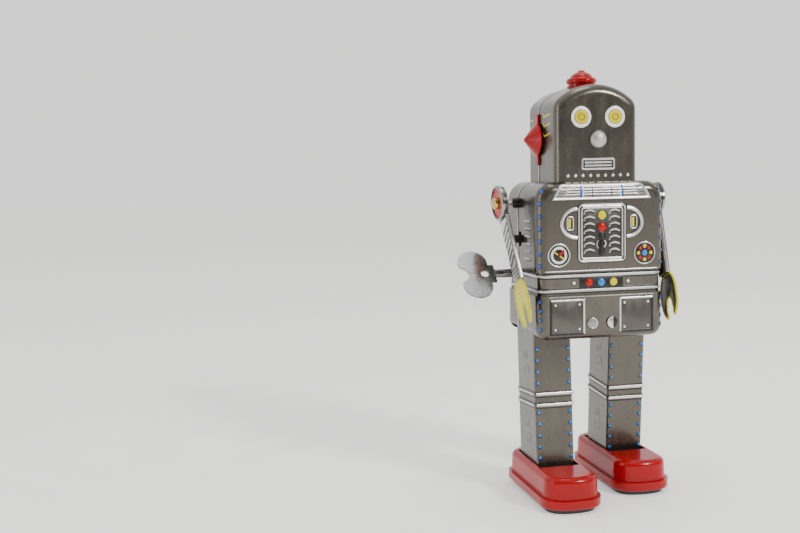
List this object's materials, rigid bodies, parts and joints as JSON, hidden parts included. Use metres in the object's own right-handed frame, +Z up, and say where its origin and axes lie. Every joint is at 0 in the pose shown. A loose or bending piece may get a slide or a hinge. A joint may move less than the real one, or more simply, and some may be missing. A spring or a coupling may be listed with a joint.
{
  "type": "wind-up walking robot toy",
  "caption": "Pressed-tin clockwork walking robot: box head and torso, clawed swinging arms, square legs on a cross shaft, red feet with rollers, and a side key.",
  "frame": {"origin": "on the floor, on the plane of symmetry, below the middle of the torso's depth", "axes": "+Z up, the robot faces -Y, and its left side is +X"},
  "size_m": [0.1232, 0.0967, 0.24],
  "materials": {
    "grey_tinplate": "satin lithographed tinplate",
    "red_tinplate": "glossy enamel",
    "yellow_tinplate": "gloss lithographed tinplate",
    "black_tinplate": "semi-gloss enamel",
    "nickel": "nickel plate",
    "spring_steel": "blued spring steel",
    "brass": "stamped brass",
    "steel": "plain steel",
    "roller_plastic": "moulded"
  },
  "bodies": {
    "torso": {"torso_front_shell": "grey_tinplate", "torso_back_shell": "grey_tinplate", "head_front_shell": "grey_tinplate", "head_back_shell": "grey_tinplate", "crown_cap": "red_tinplate", "left_ear_strap": "red_tinplate", "right_ear_strap": "red_tinplate", "left_ear_cone": "red_tinplate", "right_ear_cone": "red_tinplate", "left_shoulder_bush": "black_tinplate", "right_shoulder_bush": "black_tinplate", "motor_left_plate": "steel", "motor_right_plate": "steel", "motor_pillars": "steel", "leg_cross_shaft": "steel", "leg_shaft_spacers": "steel", "stop_lever_rivet": "steel", "mainspring": "spring_steel"},
    "winding_key": {"key_plate": "nickel", "key_barrel": "nickel", "winding_arbor": "steel", "ratchet_wheel": "steel"},
    "great_wheel": {"great_wheel": "brass"},
    "click": {"click": "spring_steel"},
    "second_arbor": {"second_arbor": "steel", "second_wheel": "brass"},
    "crankshaft": {"crankshaft": "steel", "crank_wheel": "brass", "left_crank_disc": "steel", "right_crank_disc": "steel"},
    "governor_fly": {"fly_arbor": "steel", "governor_fly": "brass"},
    "stop_lever": {"stop_lever": "black_tinplate"},
    "right_arm": {"right_arm_channel": "grey_tinplate", "right_shoulder_cap": "nickel", "right_hand": "yellow_tinplate", "right_arm_axle": "steel", "right_arm_spring": "spring_steel"},
    "right_leg": {"right_leg_shell": "grey_tinplate", "right_leg_strap": "steel", "right_ankle_bracket": "steel"},
    "right_foot": {"right_foot_shell": "red_tinplate", "right_sole_plate": "black_tinplate", "right_foot_pins": "steel"},
    "right_front_roller": {"right_front_roller": "roller_plastic"},
    "right_rear_roller": {"right_rear_roller": "roller_plastic"},
    "left_arm": {"left_arm_channel": "grey_tinplate", "left_shoulder_cap": "nickel", "left_hand": "yellow_tinplate", "left_arm_axle": "steel", "left_arm_spring": "spring_steel"},
    "left_leg": {"left_leg_shell": "grey_tinplate", "left_leg_strap": "steel", "left_ankle_bracket": "steel"},
    "left_foot": {"left_foot_shell": "red_tinplate", "left_sole_plate": "black_tinplate", "left_foot_pins": "steel"},
    "left_front_roller": {"left_front_roller": "roller_plastic"},
    "left_rear_roller": {"left_rear_roller": "roller_plastic"}
  },
  "joints": [
    {"name": "key_turn", "type": "hinge", "parent": "torso", "child": "winding_key", "pos_m": [0, 0.006, 0.1252], "axis": [1, 0, 0], "continuous": true},
    {"name": "great_wheel_turn", "type": "hinge", "parent": "torso", "child": "great_wheel", "pos_m": [0, 0.006, 0.1252], "axis": [1, 0, 0], "continuous": true},
    {"name": "click_lift", "type": "hinge", "parent": "great_wheel", "child": "click", "pos_m": [0.0005, 0.0108, 0.13351], "axis": [1, 0, 0], "range_deg": [0, 5]},
    {"name": "second_arbor_turn", "type": "hinge", "parent": "torso", "child": "second_arbor", "pos_m": [0, -0.00653, 0.11371], "axis": [1, 0, 0], "continuous": true},
    {"name": "crankshaft_turn", "type": "hinge", "parent": "torso", "child": "crankshaft", "pos_m": [0, 0.006, 0.1087], "axis": [1, 0, 0], "continuous": true},
    {"name": "governor_turn", "type": "hinge", "parent": "torso", "child": "governor_fly", "pos_m": [0, 0.01769, 0.10195], "axis": [1, 0, 0], "continuous": true},
    {"name": "stop_lever_tilt", "type": "hinge", "parent": "torso", "child": "stop_lever", "pos_m": [-0.036, 0.014, 0.145], "axis": [1, 0, 0], "range_deg": [-8, 8]},
    {"name": "right_arm_swing", "type": "hinge", "parent": "torso", "child": "right_arm", "pos_m": [0, 0.006, 0.1654], "axis": [1, 0, 0], "range_deg": [-90, 10]},
    {"name": "left_arm_swing", "type": "hinge", "parent": "torso", "child": "left_arm", "pos_m": [0, 0.006, 0.1654], "axis": [1, 0, 0], "range_deg": [-90, 26]},
    {"name": "right_leg_swing", "type": "hinge", "parent": "torso", "child": "right_leg", "pos_m": [0, 0.006, 0.1654], "axis": [1, 0, 0], "range_deg": [0, 7.4]},
    {"name": "left_leg_swing", "type": "hinge", "parent": "torso", "child": "left_leg", "pos_m": [0, 0.006, 0.1654], "axis": [1, 0, 0], "range_deg": [-7.4, 0]},
    {"name": "right_ankle", "type": "hinge", "parent": "right_leg", "child": "right_foot", "pos_m": [0, -0.00411, 0.009], "axis": [1, 0, 0], "range_deg": [-10, 10]},
    {"name": "right_front_roller_turn", "type": "hinge", "parent": "right_foot", "child": "right_front_roller", "pos_m": [0, -0.03611, 0.003], "axis": [1, 0, 0], "continuous": true},
    {"name": "right_rear_roller_turn", "type": "hinge", "parent": "right_foot", "child": "right_rear_roller", "pos_m": [0, 0.01189, 0.003], "axis": [1, 0, 0], "continuous": true},
    {"name": "left_ankle", "type": "hinge", "parent": "left_leg", "child": "left_foot", "pos_m": [0, 0.01611, 0.009], "axis": [1, 0, 0], "range_deg": [-10, 10]},
    {"name": "left_front_roller_turn", "type": "hinge", "parent": "left_foot", "child": "left_front_roller", "pos_m": [0, -0.01589, 0.003], "axis": [1, 0, 0], "continuous": true},
    {"name": "left_rear_roller_turn", "type": "hinge", "parent": "left_foot", "child": "left_rear_roller", "pos_m": [0, 0.03211, 0.003], "axis": [1, 0, 0], "continuous": true}
  ],
  "couplings": [
    {"joint": "second_arbor_turn", "follows": "great_wheel_turn", "ratio": -4.6667},
    {"joint": "crankshaft_turn", "follows": "great_wheel_turn", "ratio": 13.333},
    {"joint": "governor_turn", "follows": "great_wheel_turn", "ratio": -58.667},
    {"joint": "left_leg_swing", "follows": "right_leg_swing", "ratio": -1}
  ]
}
